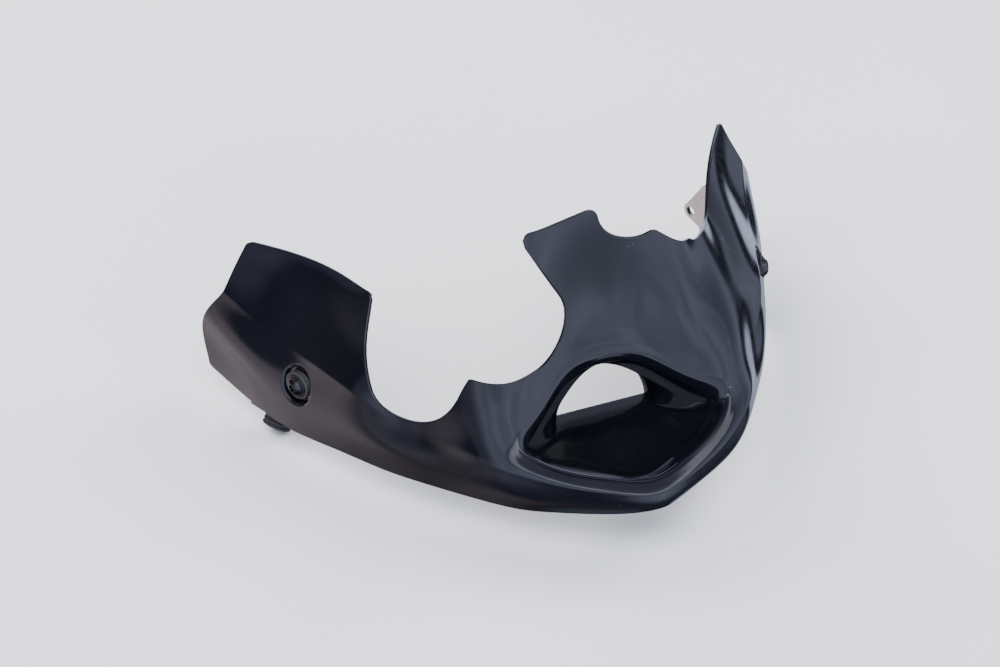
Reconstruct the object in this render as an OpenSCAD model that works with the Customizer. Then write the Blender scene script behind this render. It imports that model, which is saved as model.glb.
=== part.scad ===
// Belly pan of a naked motorcycle: a moulded bow-shaped shell with a scoop mouth
// in its front, an inner air duct, and rubber-mounted fixings on both sides.
// The nose points to -Y, +X is the rider's left, and the nose crease is the origin.

/* [Overall size] */
// Half of the greatest width, across the rear of the wings
half_width = 200; // [188:1:212]
// Length from the nose to the rear end of the wings
pan_length = 302; // [285:1:320]
// Height of the front wall above the nose crease, before its top edge is cut
wall_height = 166; // [156:1:176]
// Depth of the lower edge below the nose crease
keel_depth = 37; // [33:1:41]
// Thickness of the moulded shell
shell_wall = 3; // [2.5:0.1:3.5]

/* [Scoop mouth] */
// Half width of the mouth, in stations from the nose
mouth_reach = 2.72; // [2.5:0.01:2.8]
// Radius of the roll along the rim of the mouth
rim_radius = 6; // [5:0.5:7]
// Depth that the rolled rim reaches below the surface at the bottom of the mouth
rim_depth = 12.5; // [11:0.5:14]
// Thickness of the duct wall
duct_wall = 2.5; // [2:0.1:3]
// Glue gap between the rolled rim and the duct
glue_gap = 0.6; // [0.6:0.05:0.8]
// Radius of the half-round duct outlet
outlet_radius = 34; // [31:0.5:35]
// Length of the straight collar behind the duct outlet
collar_length = 8; // [5:0.5:10]

/* [Cut-outs] */
// Radius of the round end of the clutch cover cut-out, on the rider's right
clutch_radius = 32; // [29:0.5:34]
// Radius of the hollow beside the front wall, on the rider's right
hollow_radius = 28; // [25:0.5:30]
// Radius of the scallop in the top edge, on the rider's left
scallop_radius = 26; // [23:0.5:28]

/* [Side fixings] */
// Width of the rounded recess around a side fixing
recess_bore = 23; // [22:0.5:24]
// Extra height of the recess over its width
recess_stretch = 3; // [2:0.5:4]
// Depth of the recess floor below the surface
recess_depth = 4.5; // [4:0.5:6]
// Hole in the recess floor that holds the rubber grommet
side_hole = 14; // [13:0.5:15]
// Diameter of the flanges of the side grommet
side_flange = 20; // [19:0.5:21]
// Thickness of the inner flange of the side grommet
flange_height = 2.5; // [2:0.1:3]
// Thickness of the ribbed outer flange of the side grommet
head_flange = 4.5; // [4:0.1:5]
// Outer diameter of the steel sleeves
sleeve_outer = 10; // [9:0.5:11]
// Bore of the steel sleeves and washers
screw_clearance = 6.4; // [6.3:0.1:6.8]
// Diameter of the washer under the screw head
washer_outer = 16; // [15:0.5:18]
// Thickness of the washer
washer_height = 1.2; // [1:0.1:1.6]
// Diameter of the flanged button head
head_outer = 13.6; // [12:0.1:14]
// Height of the button head
head_height = 3.3; // [3:0.1:4]
// Length of the screw under its head
screw_length = 22; // [20:1:25]

/* [Brackets] */
// Thickness of the aluminium bracket sheet
bracket_sheet = 3; // [2:0.5:3]
// Width of the bracket pad
bracket_width = 22; // [20:1:26]
// How far the bracket hole lies inboard of the pad
bracket_offset = 35; // [33:1:37]
// Height of the bracket hole above the side fixing
bracket_rise = 35; // [33:1:38]
// Bore of the bracket hole
bracket_bore = 7; // [6.5:0.1:7]

/* [Lower fixings] */
// Diameter of the ribs of the lower rubber bobbin
bobbin_outer = 20; // [19:0.5:22]
// Hole in the lower lug that holds the bobbin
lug_hole = 13; // [12:0.5:14]
// Height of the lower rubber bobbin above its lug
bobbin_top = 4.5; // [4:0.5:6]
// Height of the lower rubber bobbin below its lug
bobbin_bottom = 9.5; // [8:0.5:11]
// Thickness of the lower lug
lug_sheet = 3; // [2.5:0.5:3.5]

/* [Hidden] */
$fn = 48;

// Rails of the left-hand half, from the nose to the rear end of a wing
LOWER_EDGE = [
    [0, 1, -15], [22, 17, -23], [60, 44, -28], [86, 68, -30], [120, 111, -31],
    [139, 144, -34], [157, 178, -35], [173, 212, -37], [185, 249, -35], [193, 302, -36]];
CHINE = [
    [0, -1, -8], [30, 11, -10], [63, 32, -11], [90, 57, -9], [118, 100, -11],
    [140, 138, -12], [157, 174, -8], [172, 211, -5], [187, 251, 0], [200, 297, 6]];
CREASE = [
    [0, 0, 0], [29, 8, 3], [59, 25, 7], [91, 56, 11], [111, 94, 8],
    [130, 131, 9], [148, 166, 18], [161, 210, 22], [171, 244, 25], [188, 286, 35]];
SHOULDER = [
    [0, 91, 50], [28, 87, 46], [54, 74, 36], [78, 71, 41], [98, 94, 46],
    [119, 135, 44], [137, 172, 45], [150, 213, 49], [162, 248, 51], [181, 285, 53]];
TOP_EDGE = [
    [0, 107, 166], [28, 107, 165], [51, 110, 153], [75, 122, 108], [97, 147, 88],
    [110, 169, 78], [121, 190, 72], [135, 218, 76], [153, 250, 76], [173, 283, 71]];

last = len(CREASE) - 1;
width_ratio = half_width / 200;
length_ratio = pan_length / 302;
rise_ratio = wall_height / 166;
drop_ratio = keel_depth / 37;

// Middle of the pan's length, measured from the nose
middle_length = 150.72 * length_ratio;

// Places of the fixings on the surface, as a station and a height
side_place = [6.95, -0.82];
lower_place = [7.62, -2];
lug_lean = 30;
lug_inset = 14;

// The stack of a side fixing, along its axis from the outer face of the recess floor
side_stack = flange_height + shell_wall + head_flange;
pad_face = -shell_wall - flange_height;
nut_height = 6;
nut_across = 10;
screw_diameter = 6;
thread_clearance = 0.1;
socket_across = 4;
recess_wall = 2.5;

// Where the bracket's pad, shelf and ear lie, measured from the side fixing
pad_low = 12;
shelf_top = 15;
bend_radius = 3;
ear_radius = 6;
ear_back = 18.5;
ear_turn = 42;

// Depth of the grooves between the ribs of the lower bobbin
rib_depth = 1.8;
rib_count = 3;
bobbin_chamfer = 1;

function sized(p) = [
    p.x * width_ratio,
    p.y * length_ratio,
    p.z * (p.z > 0 ? rise_ratio : drop_ratio)];

function unit(v) = v / norm(v);

// Point i of a rail, mirrored past the nose and continued straight past its ends
function knot(rail, i) =
    abs(i) > last ? 2 * knot(rail, sign(i) * last) - knot(rail, sign(i) * (last - 1))
    : i < 0 ? let(p = sized(rail[-i])) [-p.x, p.y, p.z]
    : sized(rail[i]);

// Smooth curve through four points, between the second and the third
function blend(a, b, c, d, t) =
    0.5 * (2 * b + (c - a) * t + (2 * a - 5 * b + 4 * c - d) * t * t
    + (3 * b - a - 3 * c + d) * t * t * t);

function along(rail, u) =
    let(i = max(-last, min(last - 1, floor(u))))
    blend(knot(rail, i - 1), knot(rail, i), knot(rail, i + 1), knot(rail, i + 2), u - i);

function through(a, b, c, t) =
    t < 1 ? blend(2 * a - b, a, b, c, t) : blend(a, b, c, 2 * c - b, t - 1);

// Outer surface: u counts stations from the nose, v is -2 at the lower edge,
// 0 on the crease and 2 at the top edge
function surface_at(u, v) =
    v < 0
    ? through(along(LOWER_EDGE, u), along(CHINE, u), along(CREASE, u), v + 2)
    : through(along(CREASE, u), along(SHOULDER, u), along(TOP_EDGE, u), v);

function normal_at(u, v) =
    let(h = 0.03, low = max(v - h, -2), high = min(v + h, 2))
    unit(cross(
        surface_at(u + h, v) - surface_at(u - h, v),
        surface_at(u, high) - surface_at(u, low)));

function steps(from, to, count) = [for (i = [0 : count]) from + (to - from) * i / count];

// Two triangles for each cell of a grid of rows, the first row of points being first
function grid_faces(rows, cols, first, flip) = [
    for (i = [0 : rows - 2], j = [0 : cols - 2])
        let(a = first + i * cols + j, b = a + cols)
        each flip
            ? [[a, b, b + 1], [a, b + 1, a + 1]]
            : [[a, b + 1, b], [a, a + 1, b + 1]]];

// Strip of triangles between two lists of point numbers
function strip_faces(p, q) = [
    for (i = [0 : len(p) - 2])
        each [[p[i], q[i], q[i + 1]], [p[i], q[i + 1], p[i + 1]]]];

// A part of the shell surface, thickened inwards by depth
module sheet(us, vs, depth) {
    rows = len(us);
    cols = len(vs);
    count = rows * cols;
    outer = [for (u = us, v = vs) surface_at(u, v)];
    inner = [for (u = us, v = vs) surface_at(u, v) - depth * normal_at(u, v)];
    low = [for (i = [0 : rows - 1]) i * cols];
    high = [for (i = [0 : rows - 1]) i * cols + cols - 1];
    start = [for (j = [0 : cols - 1]) j];
    end = [for (j = [0 : cols - 1]) count - cols + j];
    polyhedron(
        concat(outer, inner),
        concat(
            grid_faces(rows, cols, 0, false),
            grid_faces(rows, cols, count, true),
            strip_faces([for (i = low) i + count], low),
            strip_faces(high, [for (i = high) i + count]),
            strip_faces(start, [for (i = start) i + count]),
            strip_faces([for (i = end) i + count], end)));
}

// A closed tube of rings, each ring being a list of points around the passage
module ring_solid(rings) {
    n = len(rings[0]);
    m = len(rings);
    polyhedron(
        [for (ring = rings) each ring],
        [for (i = [0 : m - 1], j = [0 : n - 1])
            let(
                a = i * n + j,
                b = i * n + (j + 1) % n,
                c = ((i + 1) % m) * n + j,
                d = ((i + 1) % m) * n + (j + 1) % n)
            each [[a, c, d], [a, d, b]]]);
}

// Outline of the mouth on the surface, as a rounded box in stations and heights
mouth_low = 0.03;
mouth_high = 1.02;
mouth_corner = 2 / 3;
function signed_power(x, e) = sign(x) * pow(abs(x), e);
function mouth_place(angle) = [
    mouth_reach * signed_power(cos(angle), mouth_corner),
    (mouth_low + mouth_high) / 2
        + (mouth_high - mouth_low) / 2 * signed_power(sin(angle), mouth_corner)];
function mouth_point(angle) =
    let(p = mouth_place(angle)) surface_at(p.x, p.y);
function mouth_normal(angle) =
    let(p = mouth_place(angle)) normal_at(p.x, p.y);
function mouth_inward(angle) =
    unit(cross(mouth_normal(angle), mouth_point(angle + 1) - mouth_point(angle - 1)));

// Share of the full rim depth, from none at the top of the mouth to all below
function rim_share(angle) = pow((1 - sin(angle)) / 2, 0.6);

// A point of the rim profile: t runs from the surface round the roll to the inner end
function rim_point(angle, t, under) =
    let(
        r = rim_radius - under,
        share = rim_share(angle),
        turn = min(t, 1) * 75,
        run = max(t - 1, 0) * (2 + share * rim_depth),
        b = r * sin(turn) + run * cos(75 - 27 * share),
        d = r * cos(turn) - rim_radius - run * sin(75 - 27 * share))
    mouth_point(angle) + b * mouth_inward(angle) + d * mouth_normal(angle);

mouth_angles = [for (i = [0 : 55]) i * 360 / 56 + 1.5];
rim_steps = [0, 0.2, 0.4, 0.6, 0.8, 1, 1.5, 2];

module mouth_rim() {
    ring_solid(concat(
        [for (t = rim_steps) [for (a = mouth_angles) rim_point(a, t, 0)]],
        [for (i = [len(rim_steps) - 1 : -1 : 0])
            [for (a = mouth_angles) rim_point(a, rim_steps[i], shell_wall)]]));
}

// Plug that clears the sheet inside the outline of the mouth
module mouth_cutter() {
    lap = 1.5;
    out = [for (a = mouth_angles)
        mouth_point(a) + lap * mouth_inward(a) + 10 * mouth_normal(a)];
    in = [for (a = mouth_angles)
        mouth_point(a) + lap * mouth_inward(a) - 8 * mouth_normal(a)];
    n = len(out);
    mid_out = surface_at(0, 0.5) + [0, -25, 25];
    mid_in = surface_at(0, 0.5) + [0, 25, -20];
    polyhedron(
        concat(out, in, [mid_out, mid_in]),
        [for (j = [0 : n - 1])
            let(k = (j + 1) % n)
            each [
                [2 * n, k, j],
                [j, k, n + k], [j, n + k, n + j],
                [2 * n + 1, n + j, n + k]]]);
}

// Slot in the side view for the clutch cover, open at the top
module clutch_cutter() {
    centre = [130 * length_ratio, 44.5 * rise_ratio];
    top = 130 * rise_ratio;
    translate([-88 * width_ratio, 0, 0])
        rotate([90, 0, -90])
            linear_extrude(200)
                mirror([1, 0])
                    hull() {
                        translate(centre)
                            circle(clutch_radius, $fn = 72);
                        translate([centre.x - clutch_radius, top])
                            square([140 * length_ratio, 1]);
                    }
}

// The part of the front view that the top edge leaves standing, with rounded corners
module front_keep() {
    offset(r = 7)
        offset(delta = -7)
            scale([width_ratio, rise_ratio])
                difference() {
                    polygon([
                        [-120, 0], [120, 0], [120, 93], [96, 93], [84, 99], [42, 135],
                        [3, 160.5], [-56, 151], [-120, 148]]);
                    translate([29, 157])
                        circle(scallop_radius, $fn = 60);
                    hull() {
                        translate([-50.5, 86])
                            circle(hollow_radius, $fn = 60);
                        translate([-130, 54])
                            square([30, 150]);
                        translate([-83, 200])
                            square(1);
                    }
                }
}

module front_cutter() {
    translate([0, 150 * length_ratio, 0])
        rotate([90, 0, 0])
            linear_extrude(100 * length_ratio)
                difference() {
                    translate([-100 * width_ratio, 40 * rise_ratio])
                        square([196 * width_ratio, 160 * rise_ratio]);
                    front_keep();
                }
}

// Rounds the upper rear corner of both wings and the front corner of the right one
module wing_corner_cutter(side) {
    rear = [275.5 * length_ratio, 62.8 * rise_ratio];
    rear_round = 9.8;
    front = [192 * length_ratio, 63 * rise_ratio];
    front_round = 8;
    translate([side > 0 ? 120 * width_ratio : -90 * width_ratio, 0, 0])
        rotate([90, 0, side > 0 ? 90 : -90])
            linear_extrude(120 * width_ratio)
                mirror([side > 0 ? 0 : 1, 0]) {
                    difference() {
                        translate(rear)
                            square(30);
                        translate(rear)
                            circle(rear_round);
                    }
                    if (side < 0)
                        difference() {
                            translate(front)
                                polygon([[0, 0], [-15.6, 12.5], [-22, 32], [0, 32]]);
                            translate(front)
                                circle(front_round);
                        }
                }
}

// Puts its children at the outer face of a recess floor: z points out along the
// screw, -x points up and y points to the rear
module at_side() {
    place = surface_at(side_place.x, side_place.y);
    facing = normal_at(side_place.x, side_place.y);
    heading = atan2(facing.y, facing.x);
    translate(place - recess_depth * [cos(heading), sin(heading), 0])
        rotate([0, 0, heading])
            rotate([0, 90, 0])
                children();
}

// Puts its children in the middle of a lower lug: z is square to the lug
module at_lug() {
    place = surface_at(lower_place.x, lower_place.y);
    facing = normal_at(lower_place.x, lower_place.y + 0.3);
    heading = atan2(facing.y, facing.x);
    translate(place)
        rotate([0, 0, heading])
            rotate([0, -lug_lean, 0])
                translate([-lug_inset, 0, lug_sheet / 2])
                    children();
}

module on_side(side) {
    mirror([side > 0 ? 0 : 1, 0, 0])
        children();
}

// Moves its children from the nose crease to the middle of the pan's length, with the
// lowest edge of the bobbins at height zero
module on_ground() {
    lowest = surface_at(lower_place.x, lower_place.y).z
        - sin(lug_lean) * (lug_inset + bobbin_outer / 2 - bobbin_chamfer)
        - cos(lug_lean) * (bobbin_bottom - lug_sheet / 2);
    translate([0, -middle_length, -lowest])
        children();
}

// Upright slot around a side fixing, standing on the recess floor
module recess_slot(width, height) {
    hull()
        for (shift = [-0.5, 0.5])
            translate([shift * recess_stretch, 0, 0])
                cylinder(d = width, h = height);
}

// Stations and heights where the surface of the shell is sampled
shell_stations = steps(-last, last, 8 * last);
shell_heights = concat(steps(-2, 0, 7), [for (i = [1 : 9]) i * 2 / 9]);

// Thick plug of the wing around a side fixing, before its recess is bored
module recess_plug() {
    intersection() {
        sheet(
            [for (u = shell_stations) if (u > 6.1 && u < 7.8) u],
            [for (v = shell_heights) if (v > -1.8 && v < -0.1) v],
            14);
        at_side()
            translate([0, 0, -shell_wall])
                recess_slot(recess_bore + 2 * recess_wall, 40);
    }
    at_side()
        translate([0, 0, -shell_wall])
            recess_slot(recess_bore + 2, shell_wall);
}

module recess_bores() {
    at_side()
        recess_slot(recess_bore, 40);
    at_side()
        translate([0, 0, -20])
            cylinder(d = side_hole, h = 40);
}

module lug() {
    at_lug()
        translate([0, 0, -lug_sheet / 2])
            linear_extrude(lug_sheet)
                hull() {
                    circle(13);
                    translate([lug_inset - 3, -17])
                        square([2, 34]);
                }
}

module shell() {
    color([0.07, 0.08, 0.10])
        difference() {
            union() {
                difference() {
                    sheet(shell_stations, shell_heights, shell_wall);
                    mouth_cutter();
                    for (side = [-1, 1])
                        on_side(side)
                            at_side()
                                translate([0, 0, -20])
                                    recess_slot(recess_bore + recess_wall, 40);
                }
                mouth_rim();
                for (side = [-1, 1])
                    on_side(side) {
                        recess_plug();
                        lug();
                    }
            }
            clutch_cutter();
            front_cutter();
            for (side = [-1, 1]) {
                wing_corner_cutter(side);
                on_side(side) {
                    recess_bores();
                    at_lug()
                        translate([0, 0, -20])
                            cylinder(d = lug_hole, h = 40);
                }
            }
        }
}

// The duct: s runs under the rim from 0 to 1, through the funnel to 2, along the collar to 3
outlet_place = [0, 92 * length_ratio, 6.5 * rise_ratio];
outlet_lean = 0.22;
duct_under = shell_wall + glue_gap;
duct_lap = 1.6;
function outlet_point(angle) =
    let(up = max(0, sin(angle)))
    outlet_place + outlet_radius * [cos(angle), outlet_lean * up, up];
function curve(a, b, ta, tb, t) =
    (2 * t * t * t - 3 * t * t + 1) * a + (t * t * t - 2 * t * t + t) * ta
    + (3 * t * t - 2 * t * t * t) * b + (t * t * t - t * t) * tb;
function duct_point(angle, s) =
    s < 1 ? rim_point(angle, duct_lap + (2 - duct_lap) * s, duct_under)
    : s > 2 ? outlet_point(angle) + [0, collar_length * (s - 2), 0]
    : let(
        start = rim_point(angle, 2, duct_under),
        heading = unit(start - rim_point(angle, duct_lap, duct_under)),
        end = outlet_point(angle),
        reach = norm(end - start))
    curve(start, end, heading * reach * 0.8, [0, reach * 0.9, 0], s - 1);
function duct_outward(angle, s) =
    let(low = max(0, s - 0.1), high = min(3, s + 0.1))
    unit(cross(
        duct_point(angle, high) - duct_point(angle, low),
        duct_point(angle + 2, s) - duct_point(angle - 2, s)));

duct_steps = [0, 0.5, 1, 1.12, 1.25, 1.4, 1.55, 1.7, 1.85, 2, 3];

module intake_duct() {
    color([0.05, 0.05, 0.06])
        ring_solid(concat(
            [for (s = duct_steps) [for (a = mouth_angles) duct_point(a, s)]],
            [for (i = [len(duct_steps) - 1 : -1 : 0])
                [for (a = mouth_angles)
                    duct_point(a, duct_steps[i]) + duct_wall * duct_outward(a, duct_steps[i])]]));
}

// Rubber grommet around a sleeve, gripping the recess floor between two flanges
module side_grommet() {
    color([0.03, 0.03, 0.03])
        at_side()
            difference() {
                translate([0, 0, pad_face])
                    union() {
                        cylinder(d = side_flange, h = flange_height);
                        cylinder(d = side_hole, h = side_stack);
                        translate([0, 0, flange_height + shell_wall])
                            cylinder(d = side_flange, h = head_flange / 3);
                        translate([0, 0, flange_height + shell_wall])
                            cylinder(d = side_flange - 2, h = head_flange);
                        translate([0, 0, flange_height + shell_wall + head_flange * 2 / 3])
                            cylinder(d = side_flange, h = head_flange / 3);
                    }
                translate([0, 0, pad_face - 1])
                    cylinder(d = sleeve_outer, h = side_stack + 2);
            }
}

module tube(outer, bore, height) {
    difference() {
        cylinder(d = outer, h = height);
        translate([0, 0, -1])
            cylinder(d = bore, h = height + 2);
    }
}

module side_sleeve() {
    color([0.62, 0.63, 0.65])
        at_side()
            translate([0, 0, pad_face])
                tube(sleeve_outer, screw_clearance, side_stack);
}

module side_washer() {
    color([0.70, 0.71, 0.73])
        at_side()
            translate([0, 0, head_flange])
                tube(washer_outer, screw_clearance, washer_height);
}

// Button head screw with a thin flange under the head and a hex socket
module side_screw() {
    rim = 0.8;
    dome = head_height - rim;
    dome_base = head_outer / 2 - 1.2;
    dome_radius = (dome_base * dome_base + dome * dome) / (2 * dome);
    color([0.75, 0.76, 0.78])
        at_side()
            translate([0, 0, head_flange + washer_height])
                difference() {
                    union() {
                        translate([0, 0, -screw_length])
                            cylinder(d = screw_diameter, h = screw_length + 1);
                        cylinder(d = head_outer, h = rim);
                        intersection() {
                            translate([0, 0, rim + dome - dome_radius])
                                sphere(dome_radius);
                            translate([0, 0, rim / 2])
                                cylinder(r = dome_base, h = head_height);
                        }
                    }
                    translate([0, 0, head_height - 2])
                        cylinder(d = socket_across / cos(30), h = 5, $fn = 6);
                }
}

module side_nut() {
    color([0.60, 0.61, 0.63])
        at_side()
            translate([0, 0, pad_face - bracket_sheet - nut_height])
                difference() {
                    union() {
                        cylinder(d = nut_across / cos(30), h = nut_height, $fn = 6);
                        translate([0, 0, nut_height - 1.2])
                            cylinder(d = nut_across + 3, h = 1.2);
                    }
                    translate([0, 0, -1])
                        cylinder(d = screw_diameter + 2 * thread_clearance, h = nut_height + 2);
                }
}

// Points of an arc, with angles in degrees
function arc(centre, radius, from, to) = [
    for (i = [0 : 6])
        let(a = from + (to - from) * i / 6)
        centre + radius * [cos(a), sin(a)]];

// Profiles of the bracket sheet, x pointing up and y out along the screw: the shelf has
// its top at the given height, and the leg above or below it has its outer face at face
function bend_above(top, face) = concat(
    [[top, face + bend_radius + 2]],
    arc([top + bend_radius, face + bend_radius], bend_radius, 180, 270),
    [[top + bend_radius + 2, face], [top + bend_radius + 2, face - bracket_sheet]],
    arc([top + bend_radius, face + bend_radius], bend_radius + bracket_sheet, 270, 180),
    [[top - bracket_sheet, face + bend_radius + 2]]);
function bend_below(top, face, low) =
    let(outer = bend_radius + bracket_sheet, centre = [top - outer, face - outer])
    concat(
        [[low, face]],
        arc(centre, outer, 90, 0),
        [[top, centre.y - 2], [top - bracket_sheet, centre.y - 2]],
        arc(centre, bend_radius, 0, 90),
        [[low, face - bracket_sheet]]);

// Outline of the ear around its hole, x pointing up and y forwards
module ear_outline(base, front) {
    offset(r = 2)
        offset(delta = -2)
            offset(r = -3)
                offset(delta = 3) {
                    circle(ear_radius);
                    polygon([
                        [base, 10], [base, front], [0, front - 2], [16, 20], [27, 16], [27, 12],
                        [4, -4.2], [-6, 0], [-9, 8]]);
                }
}

// Bent aluminium sheet: a pad on the wing, a shelf inwards and an upright ear that is
// turned to the side and carries the hole
module bracket() {
    t = bracket_sheet;
    r = bend_radius;
    shelf_low = shelf_top - bracket_rise;
    hole_at = [-bracket_rise, ear_back, pad_face - bracket_offset];
    ear_front = (bracket_offset - r - t - r * cos(ear_turn)) / sin(ear_turn) - 4;
    edge_of = function(a) [
        ear_back - a * cos(ear_turn) + r * sin(ear_turn),
        hole_at.z + a * sin(ear_turn) + r * cos(ear_turn)];
    color([0.80, 0.81, 0.82])
        at_side()
            difference() {
                union() {
                    translate([0, bracket_width / 2, 0])
                        rotate([90, 0, 0])
                            linear_extrude(bracket_width)
                                mirror([1, 0])
                                    polygon(bend_below(shelf_top, pad_face, -pad_low));
                    translate([t - shelf_top, 0, 0])
                        rotate([0, -90, 0])
                            linear_extrude(t)
                                polygon([
                                    [pad_face - r - t, -bracket_width / 2],
                                    [pad_face - r - t, bracket_width / 2],
                                    [edge_of(10).y, edge_of(10).x],
                                    [edge_of(ear_front).y, edge_of(ear_front).x]]);
                    translate(hole_at)
                        rotate([-ear_turn, 0, 0]) {
                            translate([0, -10, 0])
                                rotate([90, 0, 0])
                                    linear_extrude(ear_front - 10)
                                        mirror([1, 0])
                                            polygon(bend_above(shelf_low, 0));
                            translate([0, 0, -t])
                                linear_extrude(t)
                                    rotate(180)
                                        ear_outline(shelf_low + r, ear_front);
                        }
                }
                translate([0, 0, pad_face - t - 1])
                    cylinder(d = screw_clearance, h = t + 2);
                translate(hole_at)
                    rotate([-ear_turn, 0, 0])
                        translate([0, 0, -t - 1])
                            cylinder(d = bracket_bore, h = t + 2);
            }
}

// Ribbed rubber bobbin through a lower lug
module lower_bobbin() {
    neck = lug_hole / 2;
    rib = bobbin_outer / 2;
    pitch = (bobbin_bottom - lug_sheet / 2) / rib_count;
    low_side = [
        for (i = [0 : rib_count - 1])
            let(z = -bobbin_bottom + i * pitch)
            each [
                [rib - (i == 0 ? bobbin_chamfer : rib_depth), z],
                [rib, z + 0.25 * pitch],
                [rib, z + 0.6 * pitch],
                [rib - rib_depth, z + 0.8 * pitch]]];
    color([0.03, 0.03, 0.03])
        at_lug()
            rotate_extrude()
                polygon(concat(
                    [[sleeve_outer / 2, -bobbin_bottom]],
                    low_side,
                    [
                        [rib - rib_depth, -lug_sheet / 2],
                        [neck, -lug_sheet / 2],
                        [neck, lug_sheet / 2],
                        [rib, lug_sheet / 2],
                        [rib, bobbin_top - 0.8],
                        [rib - 0.8, bobbin_top],
                        [sleeve_outer / 2, bobbin_top]]));
}

module lower_sleeve() {
    color([0.62, 0.63, 0.65])
        at_lug()
            translate([0, 0, -bobbin_bottom])
                tube(sleeve_outer, screw_clearance, bobbin_bottom + bobbin_top);
}

on_ground() shell();
on_ground() intake_duct();
on_ground() on_side(1) side_grommet();  // side_grommet_left
on_ground() on_side(-1) side_grommet();  // side_grommet_right
on_ground() on_side(1) side_sleeve();  // side_sleeve_left
on_ground() on_side(-1) side_sleeve();  // side_sleeve_right
on_ground() on_side(1) side_washer();  // side_washer_left
on_ground() on_side(-1) side_washer();  // side_washer_right
on_ground() on_side(1) side_screw();  // side_screw_left
on_ground() on_side(-1) side_screw();  // side_screw_right
on_ground() on_side(1) side_nut();  // side_nut_left
on_ground() on_side(-1) side_nut();  // side_nut_right
on_ground() on_side(1) bracket();  // bracket_left
on_ground() on_side(-1) bracket();  // bracket_right
on_ground() on_side(1) lower_bobbin();  // lower_bobbin_left
on_ground() on_side(-1) lower_bobbin();  // lower_bobbin_right
on_ground() on_side(1) lower_sleeve();  // lower_sleeve_left
on_ground() on_side(-1) lower_sleeve();  // lower_sleeve_right
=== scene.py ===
import math

import bmesh
import bpy
import numpy as np
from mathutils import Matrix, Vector


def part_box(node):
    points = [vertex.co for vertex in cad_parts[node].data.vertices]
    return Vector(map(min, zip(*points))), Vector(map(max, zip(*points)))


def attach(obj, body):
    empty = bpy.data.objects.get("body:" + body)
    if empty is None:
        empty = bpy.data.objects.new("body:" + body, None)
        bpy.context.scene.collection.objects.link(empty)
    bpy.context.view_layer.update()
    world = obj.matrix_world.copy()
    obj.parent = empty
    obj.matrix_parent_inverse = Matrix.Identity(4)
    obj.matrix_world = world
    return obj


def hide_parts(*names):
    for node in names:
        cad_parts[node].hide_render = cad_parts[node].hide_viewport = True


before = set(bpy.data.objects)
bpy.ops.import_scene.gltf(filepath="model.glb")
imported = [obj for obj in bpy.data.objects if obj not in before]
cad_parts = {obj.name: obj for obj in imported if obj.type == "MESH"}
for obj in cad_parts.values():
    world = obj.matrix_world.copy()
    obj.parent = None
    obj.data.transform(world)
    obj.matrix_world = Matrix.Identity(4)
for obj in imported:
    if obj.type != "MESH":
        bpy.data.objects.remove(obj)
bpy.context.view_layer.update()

# Rails of the left-hand half, from the nose to the rear end of a wing, in millimetres
LOWER_EDGE = [
    [0, 1, -15], [22, 17, -23], [60, 44, -28], [86, 68, -30], [120, 111, -31],
    [139, 144, -34], [157, 178, -35], [173, 212, -37], [185, 249, -35], [193, 302, -36]]
CHINE = [
    [0, -1, -8], [30, 11, -10], [63, 32, -11], [90, 57, -9], [118, 100, -11],
    [140, 138, -12], [157, 174, -8], [172, 211, -5], [187, 251, 0], [200, 297, 6]]
CREASE = [
    [0, 0, 0], [29, 8, 3], [59, 25, 7], [91, 56, 11], [111, 94, 8],
    [130, 131, 9], [149.5, 165.5, 18], [163.5, 209, 21], [174, 243, 24], [190, 285, 34]]
SHOULDER = [
    [0, 91, 50], [28, 87, 46], [54, 74, 36], [78, 71, 41], [98, 94, 46],
    [119, 135, 44], [137, 172, 45], [150, 213, 49], [162, 248, 51], [181, 285, 53]]
TOP_EDGE = [
    [0, 107, 166], [28, 107, 165], [51, 110, 153], [75, 122, 108], [97, 147, 88],
    [110, 169, 78], [121, 190, 72], [135, 218, 76], [153, 250, 76], [173, 283, 71]]
LAST = len(CREASE) - 1
WALL = 3.0

# How far the crease is softened, in shares of the way from one rail to the next
SOFT_REACH, SOFT_FRONT, SOFT_REAR = 0.55, 0.17, 0.08

EDGE_ROUND = 0.9

# From the nose crease, where the rails are measured, to the origin of the frame
MOVED = np.array([0.0, -150.72, 54.148])

# Places of the fixings, as the construction has them
SIDE_ORIGIN = np.array([165.728, 210.581, -0.041])
SIDE_HEADING = math.radians(-22.159)
LUG_CENTRE = np.array([168.690, 237.687, -41.421])
LUG_HEADING = math.radians(-18.333)
LUG_LEAN = math.radians(30)

# Scoop mouth in the surface's own coordinates: where the rim turns, and where the lip leaves the sheet
RIM = (2.72, 0.03, 1.02)
MOUTH = (2.86, 0.02, 1.10)
MOUTH_SLOPE = 40
RIM_RADIUS, RIM_DEPTH = 6.0, 12.5
RIM_TURN = math.radians(75)
LIP_THIN, LIP_END_ROUND = 2.1, 0.45

DUCT_LAP, DUCT_WALL, DUCT_GAP = 0.8, 2.5, 0.25
OUTLET = np.array([0.0, 92.0, 6.5])
OUTLET_RADIUS, OUTLET_LEAN, COLLAR = 34.0, 0.22, 8.0

# Recess round each side fixing: a slot outside, a boss inside and the grommet's hole
SLOT_RADIUS, SLOT_STRETCH = 11.5, 3.0
RECESS_LIP, RECESS_ROUND, RECESS_FLOOR = 2.4, 1.2, 8.5
BOSS_GROW, BOSS_RADIUS, BOSS_FACE = 3.6, 14.0, 11.0
HOLE_RADIUS, HOLE_CHAMFER = 7.0, 0.3

LUG_RADIUS, LUG_HOLE, LUG_SHEET, LUG_ROUND = 13.0, 6.5, 3.0, 0.6
LUG_ROOT = [(13, 17), (11, 17)]
LUG_END_FROM = 6

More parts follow.
